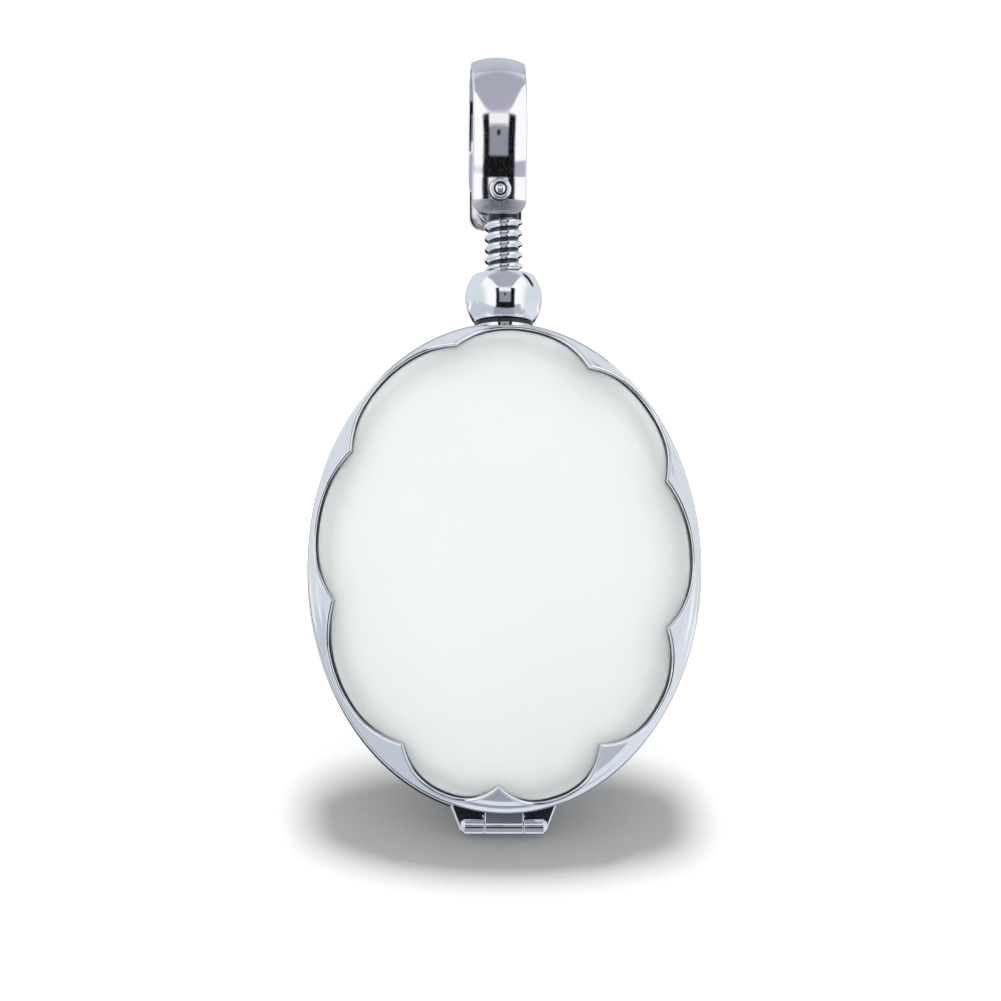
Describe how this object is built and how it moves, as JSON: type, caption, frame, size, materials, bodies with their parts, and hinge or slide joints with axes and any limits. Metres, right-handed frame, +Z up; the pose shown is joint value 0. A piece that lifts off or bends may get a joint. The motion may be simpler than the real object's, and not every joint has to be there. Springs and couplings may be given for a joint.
{
  "type": "glass dome locket",
  "caption": "Oval locket of two hinged silver frames with scalloped lips and glass domes, closed by a ball nut on a threaded stem under a chain bail.",
  "frame": {"origin": "on the inner top of the bail's loop, over the axis of the threaded stem, where a neck chain carries the locket", "axes": "+Z up, the locket hangs along -Z; its front faces -Y; the chain runs through the bail along X"},
  "size_m": [0.025, 0.0102, 0.0504],
  "materials": {
    "polished_silver": "polished",
    "clear_glass": "polished"
  },
  "bodies": {
    "hanger": {"bail": "polished_silver", "bail_rivet": "polished_silver"},
    "back_half": {"threaded_stem": "polished_silver", "back_bezel": "polished_silver", "back_glass": "clear_glass", "hinge_pin": "polished_silver"},
    "nut": {"ball_nut": "polished_silver"},
    "front_half": {"front_bezel": "polished_silver", "front_glass": "clear_glass"}
  },
  "joints": [
    {"name": "swing", "type": "hinge", "parent": "hanger", "child": "back_half", "pos_m": [-0.0004, 0, -0.0085], "axis": [0, 1, 0], "range_deg": [-60, 60]},
    {"name": "nut_travel", "type": "slide", "parent": "back_half", "child": "nut", "axis": [0, 0, 1], "range_m": [0, 0.0026]},
    {"name": "lid_hinge", "type": "hinge", "parent": "back_half", "child": "front_half", "pos_m": [0, 0, -0.049], "axis": [1, 0, 0], "range_deg": [0, 150]}
  ]
}
